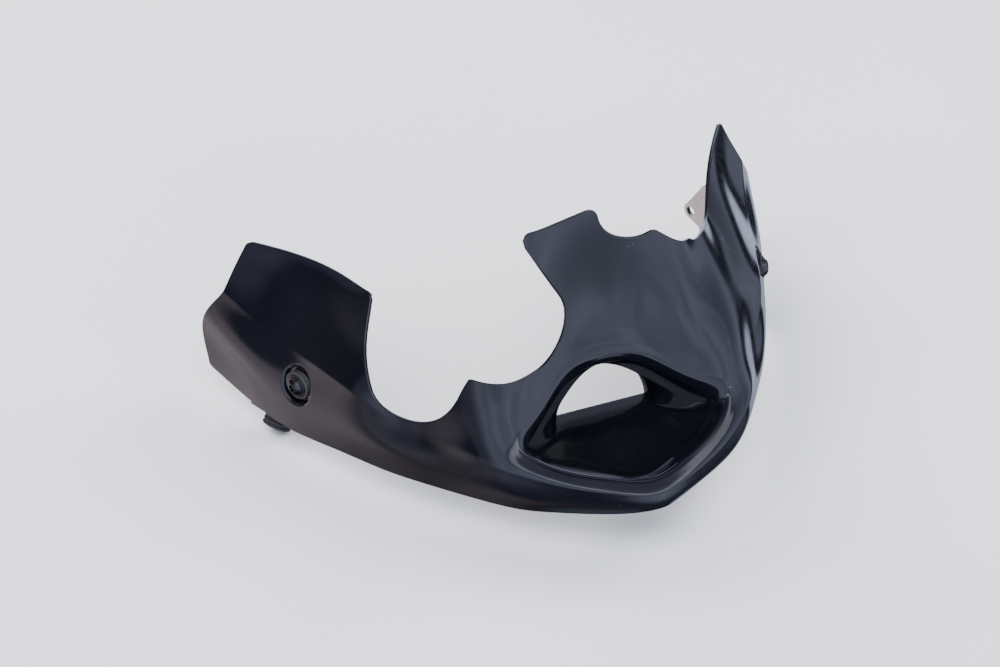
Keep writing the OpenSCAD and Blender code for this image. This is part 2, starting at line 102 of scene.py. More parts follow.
# Fixings: radii, and heights along their own axis
BORE, SLEEVE_RADIUS = 3.2, 5.0
SIDE_LOW, SIDE_HIGH = -5.5, 4.5
WASHER_RADIUS, WASHER_TOP = 8.0, 5.7
SCREW_END = -16.3
BRACKET_SHEET, NUT_HEIGHT = 3.0, 6.0
LOWER_LOW, LOWER_HIGH = -9.5, 4.5


def mirrored(rail):
    r = np.array(rail, float)
    return np.concatenate([r[:0:-1] * [-1, 1, 1], r], 0)


def second_derivatives(values):
    """Second derivatives of the natural cubic spline through evenly spaced knots."""
    n = len(values)
    a = np.zeros((n, n))
    b = np.zeros_like(values)
    a[0, 0] = a[-1, -1] = 1
    for i in range(1, n - 1):
        a[i, i - 1:i + 2] = (1, 4, 1)
        b[i] = 6 * (values[i - 1] - 2 * values[i] + values[i + 1])
    return np.linalg.solve(a, b)


RAILS = np.stack([mirrored(r) for r in (LOWER_EDGE, CHINE, CREASE, SHOULDER, TOP_EDGE)], 1)
BENDS = second_derivatives(RAILS.reshape(len(RAILS), -1)).reshape(RAILS.shape)


def rails_at(u):
    t = np.asarray(u, float) + LAST
    i = np.clip(np.floor(t).astype(int), 0, 2 * LAST - 1)
    f = (t - i)[:, None, None]
    g = 1 - f
    return (g * RAILS[i] + f * RAILS[i + 1]
            + (g ** 3 - g) / 6 * BENDS[i] + (f ** 3 - f) / 6 * BENDS[i + 1])


def blend(a, b, c, d, t):
    return 0.5 * (2 * b + (c - a) * t + (2 * a - 5 * b + 4 * c - d) * t ** 2
                  + (3 * b - a - 3 * c + d) * t ** 3)


def through(a, b, c, t):
    first = blend(2 * a - b, a, b, c, np.clip(t, -1, 1))
    second = blend(a, b, c, 2 * c - b, np.clip(t - 1, 0, 2))
    return np.where(t < 1, first, second)


def plain_section(r, v):
    t = v[:, None]
    low = through(r[:, 0], r[:, 1], r[:, 2], t + 2)
    high = through(r[:, 2], r[:, 3], r[:, 4], t)
    return np.where(t < 0, low, high)


def surface(u, v):
    """Outer surface in millimetres, with the crease between its two halves softened."""
    u = np.asarray(u, float)
    v = np.asarray(v, float)
    r = rails_at(u)
    near = np.clip(1 - np.abs(v) / SOFT_REACH, 0, 1)
    rear = np.clip((np.abs(u) - 3) / 2, 0, 1)
    width = (SOFT_FRONT + (SOFT_REAR - SOFT_FRONT) * rear) * near * near * (3 - 2 * near)
    total = 0
    weights = 0
    for k in np.linspace(-1, 1, 7):
        w = 1.15 - k * k
        total = total + w * plain_section(r, v + k * width)
        weights += w
    return total / weights


def unit(a):
    return a / np.maximum(np.linalg.norm(a, axis=-1, keepdims=True), 1e-12)


def normal(u, v):
    h = 0.02
    low = np.clip(v - h, -2, 2)
    high = np.clip(v + h, -2, 2)
    return unit(np.cross(surface(u + h, v) - surface(u - h, v), surface(u, high) - surface(u, low)))


# Frames: columns are the local x, y and z axes

def side_frame(side):
    c, s = math.cos(SIDE_HEADING), math.sin(SIDE_HEADING)
    axes = np.array([[0, -s, c], [0, c, s], [-1, 0, 0]])
    flip = np.diag([side, 1, 1])
    return flip @ axes, flip @ SIDE_ORIGIN


def lug_frame(side):
    c, s = math.cos(LUG_HEADING), math.sin(LUG_HEADING)
    a, b = math.cos(-LUG_LEAN), math.sin(-LUG_LEAN)
    turn = np.array([[c, -s, 0], [s, c, 0], [0, 0, 1]])
    lean = np.array([[a, 0, b], [0, 1, 0], [-b, 0, a]])
    flip = np.diag([side, 1, 1])
    return flip @ turn @ lean, flip @ LUG_CENTRE


def to_local(p, placed):
    axes, origin = placed
    return (p - origin) @ np.linalg.inv(axes).T


def to_world(p, placed):
    axes, origin = placed
    return p @ axes.T + origin


# Outlines: positive where the shell stays, in millimetres

def polygon_distance(p, corners):
    """Signed distance to a polygon, negative inside."""
    corners = np.array(corners, float)
    best = np.full(len(p), 1e9)
    inside = np.zeros(len(p), bool)
    for a, b in zip(corners, np.roll(corners, -1, 0)):
        e = b - a
        w = p - a
        t = np.clip((w @ e) / (e @ e), 0, 1)
        best = np.minimum(best, np.linalg.norm(w - t[:, None] * e, axis=1))
        cross = (a[1] > p[:, 1]) != (b[1] > p[:, 1])
        with np.errstate(divide="ignore", invalid="ignore"):
            at = (b[0] - a[0]) * (p[:, 1] - a[1]) / (b[1] - a[1]) + a[0]
        inside ^= cross & (p[:, 0] < at)
    return np.where(inside, -best, best)


def round_points(centre, radius, count=90):
    t = np.linspace(0, 2 * np.pi, count, endpoint=False)
    return np.stack([centre[0] + radius * np.cos(t), centre[1] + radius * np.sin(t)], 1)


def hull_of(points):
    p = sorted(map(tuple, np.round(points, 6)))
    chains = []
    for seq in (p, p[::-1]):
        chain = []
        for q in seq:
            while len(chain) > 1 and (
                    (chain[-1][0] - chain[-2][0]) * (q[1] - chain[-2][1])
                    - (chain[-1][1] - chain[-2][1]) * (q[0] - chain[-2][0])) <= 0:
                chain.pop()
            chain.append(q)
        chains += chain[:-1]
    return np.array(chains)


# Cut-outs, in side view (y, z) or front view (x, z)
CLUTCH = hull_of(np.concatenate([round_points((130, 44.5), 32), [(98, 131), (238, 131)]]))
HOLLOW = hull_of(np.concatenate([
    round_points((-50.5, 86), 28), [(-130, 54), (-130, 204), (-100, 204), (-83, 201)]]))
FRONT = np.array([
    (-120, 0), (120, 0), (120, 93), (96, 93), (84, 99), (42, 135),
    (3, 160.5), (-56, 151), (-120, 148)], float)
SCALLOP, SCALLOP_RADIUS = (29.0, 157.0), 26.0
CORNER_ROUND = 7.0
WING_CORNER, WING_ROUND = (275.5, 62.8), 9.8
NOTCH = np.array([(192, 63), (176.4, 75.5), (170, 95), (192, 95)], float)
NOTCH_ROUND = 8.0


def inset(corners, by):
    """The polygon with every side moved inwards."""
    out = []
    n = len(corners)
    for i in range(n):
        a, b, c = corners[i - 1], corners[i], corners[(i + 1) % n]
        d1, d2 = unit(b - a), unit(c - b)
        n1, n2 = np.array([-d1[1], d1[0]]), np.array([-d2[1], d2[0]])
        m = n1 + n2
        out.append(b + by * m * 2 / (m @ m))
    return np.array(out)


def front_core():
    """Outline of what is left when every edge is moved in by the corner radius, as points."""
    inner = inset(FRONT, CORNER_ROUND)
    step = 0.3
    lines = []
    for a, b in zip(inner, np.roll(inner, -1, 0)):
        k = max(2, int(np.linalg.norm(b - a) / step))
        lines.append(a + (b - a) * np.linspace(0, 1, k)[:, None])
    lines.append(round_points(SCALLOP, SCALLOP_RADIUS + CORNER_ROUND, 700))
    for a, b in zip(HOLLOW, np.roll(HOLLOW, -1, 0)):
        out = unit(np.array([b[1] - a[1], a[0] - b[0]]))
        k = max(2, int(np.linalg.norm(b - a) / step))
        lines.append(a + CORNER_ROUND * out + (b - a) * np.linspace(0, 1, k)[:, None])
    p = np.concatenate(lines)
    keep = ((polygon_distance(p, inner) < 1e-3)
            & (np.hypot(*(p - SCALLOP).T) > SCALLOP_RADIUS + CORNER_ROUND - 1e-3)
            & (polygon_distance(p, HOLLOW) > CORNER_ROUND - 2e-2))
    return inner, p[keep]


FRONT_INNER, FRONT_CORE = front_core()


def front_keep(p):
    """Distance inside the front view's outline, positive where the wall stays."""
    sharp = np.maximum.reduce([
        polygon_distance(p, FRONT_INNER),
        SCALLOP_RADIUS + CORNER_ROUND - np.hypot(*(p - SCALLOP).T),
        CORNER_ROUND - polygon_distance(p, HOLLOW)])
    out = np.full(len(p), CORNER_ROUND)
    far = sharp > 0
    q = p[far]
    d = np.empty(len(q))
    block = 2000
    for i in range(0, len(q), block):
        d[i:i + block] = np.sqrt(((q[i:i + block, None] - FRONT_CORE[None]) ** 2).sum(2)).min(1)
    out[far] = CORNER_ROUND - d
    return out


def wing_corner(y, z, at, radius):
    d = np.hypot(y - at[0], z - at[1])
    return np.maximum.reduce([at[0] - y, at[1] - z, radius - d])


def keep_edges(u, v, p):
    """Distance to the nearest outer edge, less the rounding that is added later."""
    h = 0.02
    speed_v = np.linalg.norm(surface(u, v + h) - surface(u, v - h), axis=1) / (2 * h)
    speed_u = np.linalg.norm(surface(u + h, v) - surface(u - h, v), axis=1) / (2 * h)
    f = np.minimum.reduce([(v + 2) * speed_v, (2 - v) * speed_v, (LAST - np.abs(u)) * speed_u])
    x, y, z = p.T
    yz = p[:, 1:]
    # Each cut-out is tried only in the part of the shell that it can reach
    near = (x < -88) & (y < 250)
    f[near] = np.minimum(f[near], polygon_distance(yz[near], CLUTCH))
    near = (y < 150) & (x > -100) & (x < 96) & (z > 40)
    f[near] = np.minimum(f[near], front_keep(p[near][:, ::2]))
    near = (y > 255) & (np.abs(x) > 100)
    f[near] = np.minimum(f[near], wing_corner(y[near], z[near], WING_CORNER, WING_ROUND))
    near = (x < -90) & (y > 160) & (y < 215) & (z > 55)
    f[near] = np.minimum(f[near], np.maximum(
        polygon_distance(yz[near], NOTCH), NOTCH_ROUND - np.hypot(*(yz[near] - NOTCH[0]).T)))
    return f - EDGE_ROUND


def mouth_share(u, v):
    """Coordinates of the mouth's outline, from -1 to 1 both ways."""
    reach, low, high = MOUTH
    return u / reach, (v - (low + high) / 2) / ((high - low) / 2)


def keep_mouth(u, v, p):
    a, b = mouth_share(u, v)
    return ((np.abs(a) ** 3 + np.abs(b) ** 3) ** (1 / 3) - 1) * MOUTH_SLOPE


def keep_recess(side, grow):
    placed = side_frame(side)

    def keep(u, v, p):
        x, y = to_local(p, placed)[:, :2].T
        f = np.hypot(np.maximum(np.abs(x) - SLOT_STRETCH / 2, 0), y) - SLOT_RADIUS - grow
        return np.where(np.sign(p[:, 0]) == side, f, 50)
    return keep


# Clipping a triangle mesh that lives in the surface's own coordinates

class Sheet:
    def __init__(self, params, faces):
        self.q = params
        self.faces = faces
        self.mark = np.zeros(len(params), int)

    def copy(self):
        s = Sheet(self.q.copy(), self.faces.copy())
        s.mark = self.mark.copy()
        return s

    def clip(self, keep, label):
        """Cuts away what keep calls negative, and marks the new edge with a label."""
        def value(q):
            return keep(q[:, 0], q[:, 1], surface(q[:, 0], q[:, 1]))

        def crossing(a, b, fa):
            lo, hi = np.zeros(len(a)), np.ones(len(a))
            for _ in range(12):
                mid = (lo + hi) / 2
                fm = value(a + (b - a) * mid[:, None])
                same = (fm > 0) == (fa > 0)
                lo = np.where(same, mid, lo)
                hi = np.where(same, hi, mid)
            return (lo + hi) / 2

        f = value(self.q)
        edges = np.unique(np.sort(np.concatenate(
            [self.faces[:, [0, 1]], self.faces[:, [1, 2]], self.faces[:, [2, 0]]]), 1), axis=0)
        cut = edges[(f[edges[:, 0]] > 0) != (f[edges[:, 1]] > 0)]
        t = crossing(self.q[cut[:, 0]], self.q[cut[:, 1]], f[cut[:, 0]])
        moved = set()
        old = self.q.copy()
        for (i, j), s in zip(cut, t):
            who = i if s < 0.25 else j if s > 0.75 else -1
            if who >= 0 and who not in moved and self.mark[who] == 0:
                moved.add(who)
                self.q[who] = old[i] + (old[j] - old[i]) * s
        zero = np.zeros(len(self.q), bool)
        zero[list(moved)] = True
        f[zero] = 0
        sign = np.where(zero, 0, np.where(f > 0, 1, -1))
        cut = edges[sign[edges[:, 0]] * sign[edges[:, 1]] < 0]
        t = crossing(self.q[cut[:, 0]], self.q[cut[:, 1]], f[cut[:, 0]])
        start = len(self.q)
        fresh = self.q[cut[:, 0]] + (self.q[cut[:, 1]] - self.q[cut[:, 0]]) * t[:, None]
        new_at = {(int(i), int(j)): start + k for k, (i, j) in enumerate(cut)}
        marks = [0 if self.mark[i] != self.mark[j] else self.mark[i] for i, j in cut]
        self.q = np.concatenate([self.q, fresh])
        on_line = np.concatenate([zero, np.ones(len(fresh), bool)])
        self.mark = np.concatenate([self.mark, marks]).astype(int)
        kept = []
        for face in self.faces:
            s = sign[face]
            if (s >= 0).all():
                if s.any():
                    kept.append(tuple(face))
                continue
            if (s <= 0).all():
                continue
            ring = []
            for k in range(3):
                i, j = int(face[k]), int(face[(k + 1) % 3])
                if sign[i] >= 0:
                    ring.append(i)
                if sign[i] * sign[j] < 0:
                    ring.append(new_at[(min(i, j), max(i, j))])
            for k in range(1, len(ring) - 1):
                kept.append((ring[0], ring[k], ring[k + 1]))
        self.faces = np.array(kept)
        self.mark = np.where(on_line & (self.mark == 0), label, self.mark)

    def loops(self):
        """Closed loops of boundary vertices, the sheet lying on the left."""
        half = set()
        for a, b, c in self.faces:
            for e in ((a, b), (b, c), (c, a)):
                half.add((int(e[0]), int(e[1])))
        follow = {a: b for a, b in half if (b, a) not in half}
        loops = []
        while follow:
            a, b = follow.popitem()
            loop = [a]
            while b != a:
                loop.append(b)
                b = follow.pop(b)
            loops.append(np.array(loop))
        return loops


class Build:
    """Collects vertices, faces and wished normals of one piece, in millimetres."""

    def __init__(self):
        self.points = []
        self.normals = []
        self.faces = []
        self.count = 0

    def add(self, points, normals=None):
        points = np.asarray(points, float)
        first = self.count
        self.points.append(points)
        self.normals.append(np.zeros_like(points) if normals is None else normals)
        self.count += len(points)
        return first + np.arange(len(points))

    def strip(self, a, b):
        """Quads between two closed rows of vertex numbers."""
        for i in range(len(a)):
            j = (i + 1) % len(a)
            self.faces.append((a[i], b[i], b[j], a[j]))

    def rows(self, first, rows):
        """Strips from an existing row through new rows of points."""
        for row in rows:
            new = self.add(row)
            self.strip(first, new)
            first = new
        return first

    def make(self, name):
        """The finished object, its faces turned outwards and the wished normals set."""
        points = (np.concatenate(self.points) + MOVED) / 1000
        wished = np.concatenate(self.normals)
        mesh = bpy.data.meshes.new(name)
        mesh.from_pydata(points.tolist(), [], [tuple(int(i) for i in f) for f in self.faces])
        mesh.validate()
        skin = bmesh.new()
        skin.from_mesh(mesh)
        bmesh.ops.recalc_face_normals(skin, faces=skin.faces)
        skin.to_mesh(mesh)
        skin.free()
        mesh.polygons.foreach_set("use_smooth", [True] * len(mesh.polygons))
        mesh.update()
        if np.any(wished):
            own = np.zeros(len(mesh.vertices) * 3)
            mesh.vertices.foreach_get("normal", own)
            own = own.reshape(-1, 3)
            use = np.linalg.norm(wished, axis=1) > 0.5
            own[use] = wished[use]
            mesh.normals_split_custom_set_from_vertices(own.tolist())
        piece = bpy.data.objects.new(name, mesh)
        bpy.context.scene.collection.objects.link(piece)
        return piece


def quarter(count):
    return np.linspace(0, np.pi / 2, count)


# The shell

def loop_sideways(points, normals):
    """Directions out of the sheet, square to a boundary loop with the sheet on the left."""
    ahead = unit(np.roll(points, -1, 0) - points)
    behind = unit(points - np.roll(points, 1, 0))
    along = unit(ahead + behind)
    return unit(np.cross(along, normals))


def mouth_angle(q):
    """Angle of points on the outline where the lip leaves the sheet."""
    a, b = mouth_share(q[:, 0], q[:, 1])
    return np.arctan2(np.sign(b) * np.abs(b) ** 1.5, np.sign(a) * np.abs(a) ** 1.5)


def oval(angle, reach, low, high):
    c, s = np.cos(angle), np.sin(angle)
    u = reach * np.sign(c) * np.abs(c) ** (2 / 3)
    v = (low + high) / 2 + (high - low) / 2 * np.sign(s) * np.abs(s) ** (2 / 3)
    return u, v


def oval_frame(angle, *size):
    h = math.radians(1)
    u, v = oval(angle, *size)
    p, n = surface(u, v), normal(u, v)
    ahead = surface(*oval(angle + h, *size)) - surface(*oval(angle - h, *size))
    return p, n, unit(np.cross(n, ahead))


class Lip:
    """The rolled lip of the mouth: smooth curves from the sheet to the rim's inner end."""

    COUNT = 1200

    def __init__(self):
        fine = np.linspace(0, 2 * np.pi, 20001)
        walked = np.linalg.norm(np.diff(surface(*oval(fine, *MOUTH)), axis=0), axis=1)
        walked = np.concatenate([[0], np.cumsum(walked)])
        self.girth = walked[-1]
        angle = np.interp(np.arange(self.COUNT) * self.girth / self.COUNT, walked, fine)
        self.angle = angle
        start, above, inward = oval_frame(angle, *MOUTH)
        p, n, back = oval_frame(angle, *RIM)
        share = ((1 - np.sin(angle)) / 2) ** 0.6
        lean = (RIM_TURN - math.radians(27) * share)[:, None]
        run = (2 + share * RIM_DEPTH)[:, None]
        across = RIM_RADIUS * math.sin(RIM_TURN) + run * np.cos(lean)
        down = RIM_RADIUS * (1 - math.cos(RIM_TURN)) + run * np.sin(lean)
        tip = self.settled(p + across * back - down * n, 7)
        fall = unit(self.settled(np.cos(lean) * back - np.sin(lean) * n, 9))
        chord = np.linalg.norm(tip - start, axis=1, keepdims=True) * 1.15
        bead = above * (0.45 + 0.5 * (1 - share))[:, None]
        self.table = [start, unit(self.settled(inward, 3)) * chord, tip, fall * chord, bead]

    def settled(self, values, reach):
        """Values smoothed around the loop over a distance in millimetres."""
        wave = np.fft.fftfreq(self.COUNT, self.girth / self.COUNT)
        damp = np.exp(-2 * (np.pi * wave * reach) ** 2)
        return np.real(np.fft.ifft(np.fft.fft(values, axis=0) * damp[:, None], axis=0))

    def even(self, count):
        return self.angle[::self.COUNT // count]

    def curve(self, angle, s):
        """A smooth curve from the sheet to the lip's end, straight at both, with a slight bead."""
        def at(table):
            columns = [np.interp(angle, self.angle, column, period=2 * np.pi) for column in table.T]
            return np.stack(columns, 1)

        start, leave, tip, arrive, bead = [at(table) for table in self.table]
        return (start * (1 - 10 * s ** 3 + 15 * s ** 4 - 6 * s ** 5)
                + leave * (s - 6 * s ** 3 + 8 * s ** 4 - 3 * s ** 5)
                + tip * (10 * s ** 3 - 15 * s ** 4 + 6 * s ** 5)
                + arrive * (-4 * s ** 3 + 7 * s ** 4 - 3 * s ** 5)
                + bead * math.sin(math.pi * min(s / 0.6, 1)) ** 2)

    def row(self, angle, s, under=0.0):
        """Points at share s of the way in, set back by a thickness."""
        p = self.curve(angle, s)
        if under == 0:
            return p
        ahead = self.curve(angle + 0.02, s) - self.curve(angle - 0.02, s)
        inwards = self.curve(angle, min(s + 0.02, 1)) - self.curve(angle, max(s - 0.02, 0))
        return p - under * unit(np.cross(ahead, inwards))

    def back(self, s):
        """Thickness of the lip, which tapers towards its inner end."""
        return WALL - LIP_THIN * min(max((s - 0.6) / 0.4, 0), 1)


lip = Lip()


def on_sheet(q):
    """Points and normals of the outer surface."""
    return surface(q[:, 0], q[:, 1]), normal(q[:, 0], q[:, 1])


def whole_sheet():
    """Triangles over the whole surface, mirrored about the middle."""
    per_u, per_v = ((14, 28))
    us = np.linspace(-LAST, LAST, 2 * LAST * per_u + 1)
    low = np.linspace(-2, 0, 2 * per_v * 3 // 4 + 1)[:-1]
    vs = np.concatenate([low, np.linspace(0, 2, 2 * per_v + 1)])
    grid = np.stack(np.meshgrid(us, vs, indexing="ij"), -1).reshape(-1, 2)
    n = len(vs)
    faces = []
    for i in range(len(us) - 1):
        for j in range(n - 1):
            a = i * n + j
            b = a + n
            if us[i] >= 0:
                faces += [(a, b, b + 1), (a, b + 1, a + 1)]
            else:
                faces += [(a, b, a + 1), (b, b + 1, a + 1)]
    return Sheet(grid, np.array(faces))


def add_outside(build, sheet):
    """The sheet's outer side; gives the vertex number of each sheet point."""
    used = np.unique(sheet.faces)
    numbers = np.full(len(sheet.q), -1)
    numbers[used] = build.add(*on_sheet(sheet.q[used]))
    build.faces += [tuple(numbers[f]) for f in sheet.faces]
    return numbers


def add_inside(build, sheet):
    """The same for the inner side, one wall further in."""
    used = np.unique(sheet.faces)
    p, n = on_sheet(sheet.q[used])
    numbers = np.full(len(sheet.q), -1)
    numbers[used] = build.add(p - WALL * n, -n)
    build.faces += [tuple(numbers[f][::-1]) for f in sheet.faces]
    return numbers


def edge_rows(p, n):
    """The outer edge, rounded on both sides of the wall."""
    side = loop_sideways(p, n)
    rows = []
    for a in quarter(6)[1:]:
        rows.append(p + EDGE_ROUND * (side * math.sin(a) - n * (1 - math.cos(a))))
    for a in quarter(6)[::-1][:-1]:
        depth = WALL - EDGE_ROUND * (1 - math.cos(a))
        rows.append(p + EDGE_ROUND * side * math.sin(a) - n * depth)
    return rows


def mouth_rows(p, q):
    """The lip from the sheet round its inner end and back along its under side."""
    angle = mouth_angle(q)
    off = p - lip.row(angle, 0)
    steps = np.linspace(0, 1, 27)[1:-1]
    front = [lip.row(angle, t) + off * (1 - t) ** 4 for t in steps]
    tip = lip.row(angle, 1)
    under = lip.row(angle, 1, lip.back(1))
    ahead = unit(tip - front[-1])
    mid, half = (tip + under) / 2, (tip - under) / 2
    end = [mid + half * math.cos(a) + ahead * LIP_END_ROUND * (math.sin(a) - 1)
           for a in np.linspace(0, np.pi, 7)]
    back = [lip.row(angle, t, lip.back(t)) for t in np.linspace(0.96, 0.06, 14)]
    return front + end + back


class SlotLoop:
    """A loop of points round one side fixing, in that fixing's frame."""

    def __init__(self, p, side):
        self.placed = side_frame(side)
        local = to_local(p, self.placed)
        self.flat, self.level = local[:, :2], local[:, 2]
        half = SLOT_STRETCH / 2
        self.core = np.stack([np.clip(self.flat[:, 0], -half, half), np.zeros(len(p))], 1)
        self.out = unit(self.flat - self.core)

    def lifted(self, flat, z):
        z = np.broadcast_to(z, (len(flat),))
        return to_world(np.concatenate([flat, z[:, None]], 1), self.placed)

    def slot(self, radius, z):
        """The loop's own directions on a slot of another size."""
        radius = np.broadcast_to(radius, (len(self.flat),))
        return self.lifted(self.core + self.out * radius[:, None], z)

    def hole(self, radius, z):
        return self.lifted(self.out * radius, z)


def recess_rows(loop):
    """Rounded lip, wall and floor of a recess, and the wall of the grommet's hole."""
    drop = np.minimum(RECESS_LIP * 1.1, np.maximum(loop.level - 1.4, 0.2))
    low = loop.level - drop
    rows = [loop.slot(SLOT_RADIUS + RECESS_LIP * (1 - math.sin(a)), low + drop * math.cos(a))
            for a in quarter(9)[1:]]
    rows += [loop.slot(SLOT_RADIUS, low + (RECESS_ROUND - low) * s) for s in (0.5, 1)]
    rows += [loop.slot(SLOT_RADIUS - RECESS_ROUND * (1 - math.cos(a)), RECESS_ROUND * (1 - math.sin(a)))
             for a in quarter(6)[1:]]
    wide = HOLE_RADIUS + HOLE_CHAMFER
    rows += [loop.slot(RECESS_FLOOR, 0), loop.hole(wide, 0), loop.hole(HOLE_RADIUS, -HOLE_CHAMFER)]
    rows += [loop.hole(HOLE_RADIUS, HOLE_CHAMFER - WALL), loop.hole(wide, -WALL)]
    return rows


def boss_rows(loop):
    """Rounded foot, wall, edge and face of the boss behind a recess."""
    foot = np.linalg.norm(loop.flat - loop.core, axis=1) - BOSS_RADIUS
    rows = [loop.slot(BOSS_RADIUS + foot * (1 - math.sin(a)),
                      loop.level - np.minimum(foot * (1 - math.cos(a)), 1)) for a in quarter(6)[1:]]
    rows += [loop.slot(BOSS_RADIUS, np.minimum(loop.level - 1, EDGE_ROUND - WALL))]
    rows += [loop.slot(BOSS_RADIUS - EDGE_ROUND * (1 - math.cos(a)), EDGE_ROUND * (1 - math.sin(a)) - WALL)
             for a in quarter(5)[1:]]
    rows += [loop.slot(BOSS_FACE, -WALL)]
    return rows


OUTLINE_MARK, MOUTH_MARK = 1, 2
SIDE_OF_MARK = {3: 1, 4: -1}


def make_shell():
    whole = whole_sheet()
    whole.clip(keep_edges, OUTLINE_MARK)
    whole.clip(keep_mouth, MOUTH_MARK)
    outer, inner = whole.copy(), whole.copy()
    for mark, side in SIDE_OF_MARK.items():
        outer.clip(keep_recess(side, RECESS_LIP), mark)
        inner.clip(keep_recess(side, BOSS_GROW), mark)
    build = Build()
    fronts = add_outside(build, outer)
    backs = add_inside(build, inner)

    holes = {}
    for loop in outer.loops():
        mark = int(np.bincount(outer.mark[loop]).argmax())
        p, n = on_sheet(outer.q[loop])
        if mark in SIDE_OF_MARK:
            ring = SlotLoop(p, SIDE_OF_MARK[mark])
            rows = recess_rows(ring)
        elif mark == MOUTH_MARK:
            rows = mouth_rows(p, outer.q[loop])
        else:
            rows = edge_rows(p, n)
        end = build.rows(fronts[loop][::-1], [row[::-1] for row in rows])
        if mark in SIDE_OF_MARK:
            holes[mark] = end, heading_of(ring.out[::-1])
        else:
            build.strip(end, backs[loop][::-1])

    for loop in inner.loops():
        mark = int(np.bincount(inner.mark[loop]).argmax())
        if mark in SIDE_OF_MARK:
            p, n = on_sheet(inner.q[loop])
            ring = SlotLoop(p - WALL * n, SIDE_OF_MARK[mark])
            end = build.rows(backs[loop], boss_rows(ring))
            join_rings(build, end, heading_of(ring.out), *holes[mark])
    return build


def heading_of(flat):
    return np.arctan2(flat[:, 1], flat[:, 0])


def join_rings(build, a, angle_a, b, angle_b):
    """Triangles between two closed rings with different counts, matched by angle."""
    def sorted_ring(ring, angle):
        order = np.argsort(angle)
        return [int(ring[i]) for i in order], angle[order]

    ra, ta = sorted_ring(np.asarray(a), angle_a)
    rb, tb = sorted_ring(np.asarray(b), angle_b)
    ta = np.append(ta, ta[0] + 2 * np.pi)
    tb = np.append(tb, tb[0] + 2 * np.pi)
    ra.append(ra[0])
    rb.append(rb[0])
    i = j = 0
    while i < len(ra) - 1 or j < len(rb) - 1:
        if j >= len(rb) - 1 or (i < len(ra) - 1 and ta[i + 1] <= tb[j + 1]):
            build.faces.append((ra[i], rb[j], ra[i + 1]))
            i += 1
        else:
            build.faces.append((ra[i], rb[j], rb[j + 1]))
            j += 1


def outlet(a):
    """The half-round outlet, with its flat side rounded off where it meets the arc."""
    s = np.sin(a)
    up = np.maximum(0.5 * (s + np.sqrt(s * s + 0.0036)) - 0.015, 0)
    return OUTLET + OUTLET_RADIUS * np.stack([np.cos(a), OUTLET_LEAN * up, up], 1)


def lapped(angle, t):
    """The duct's own surface under the lip."""
    return lip.row(angle, t, lip.back(t) + DUCT_GAP)


def make_duct():
    angle = lip.even(400)
    start = lapped(angle, 1)
    heading = unit(start - lapped(angle, DUCT_LAP))
    end = outlet(angle)
    reach = np.linalg.norm(end - start, axis=1)[:, None]

    def row(s):
        """Under the lip up to 1, from there to the outlet up to 2, then the collar."""
        if s < 1:
            return lapped(angle, DUCT_LAP + (1 - DUCT_LAP) * s)
        if s > 2:
            return end + [0, COLLAR * (s - 2), 0]
        t = s - 1
        leave, arrive = heading * reach * 0.8, reach * 0.9 * np.array([0, 1, 0])
        return ((2 * t ** 3 - 3 * t ** 2 + 1) * start + (t ** 3 - 2 * t ** 2 + t) * leave
                + (3 * t ** 2 - 2 * t ** 3) * end + (t ** 3 - t ** 2) * arrive)

    funnel = np.linspace(1, 2, 45)
    steps = np.concatenate([[0, 0.5], funnel, [2.25, 2.5, 2.75, 2.9]])
    inside = np.stack([row(s) for s in steps])
    run = np.gradient(inside, axis=0)
    across = np.roll(inside, -1, 1) - np.roll(inside, 1, 1)
    out = unit(np.cross(run, across))
    rows = list(inside)
    for a in np.linspace(0, np.pi, 9)[1:-1]:
        aside = out[-1] * DUCT_WALL / 2 * (1 - math.cos(a))
        rows.append(inside[-1] + aside + [0, COLLAR * 0.1 * math.sin(a), 0])
    rows += [(inside + DUCT_WALL * out)[i] for i in range(len(inside) - 1, -1, -1)]
    build = Build()
    first = build.add(rows[0])
    last = build.rows(first, rows[1:])
    build.strip(last, first)
    return build


# Round parts: each ring is (radius, height), or (radius, height, "hex")

def hex_radius(angle, radius):
    """A hexagon with that distance to its flats, with slightly rounded corners."""
    a = (angle + np.pi / 6) % (np.pi / 3) - np.pi / 6
    return np.minimum(radius / np.cos(a), radius * 1.13)


def turned(build, rings, placed):
    """Turns rings about the local z axis; gives the first and the last row of numbers."""
    count = 96
    angle = np.linspace(0, 2 * np.pi, count, endpoint=False)
    rows = []
    for ring in rings:
        r = hex_radius(angle, ring[0]) if len(ring) > 2 else np.full(count, float(ring[0]))
        p = np.stack([r * np.cos(angle), r * np.sin(angle), np.full(count, float(ring[1]))], 1)
        rows.append(to_world(p, placed))
    first = build.add(rows[0])
    return first, build.rows(first, rows[1:])


def soft(points, bevel):
    """A profile of (radius, height) with each corner but the two ends rounded."""
    out = [tuple(points[0])]
    for before, here, after in zip(points, points[1:], points[2:]):
        a, b, c = np.array(before, float), np.array(here, float), np.array(after, float)
        la, lc = np.linalg.norm(a - b), np.linalg.norm(c - b)
        d = min(bevel, la * 0.45, lc * 0.45)
        s, e = b + (a - b) / la * d, b + (c - b) / lc * d
        for t in np.linspace(0, 1, 4):
            out.append(tuple((1 - t) ** 2 * s + 2 * t * (1 - t) * b + t ** 2 * e))
    return out + [tuple(points[-1])]


def ring_piece(name, profile, placed, bevel):
    """A ring turned from a closed profile."""
    build = Build()
    mid = (np.array(profile[0]) + np.array(profile[-1])) / 2
    rings = soft([mid, *profile, mid], bevel)
    first, last = turned(build, rings[:-1], placed)
    build.strip(last, first)
    return build.make(name)


def tube(name, low, high, outer, placed, bevel):
    return ring_piece(name, [(BORE, low), (outer, low), (outer, high), (BORE, high)], placed, bevel)


# Materials

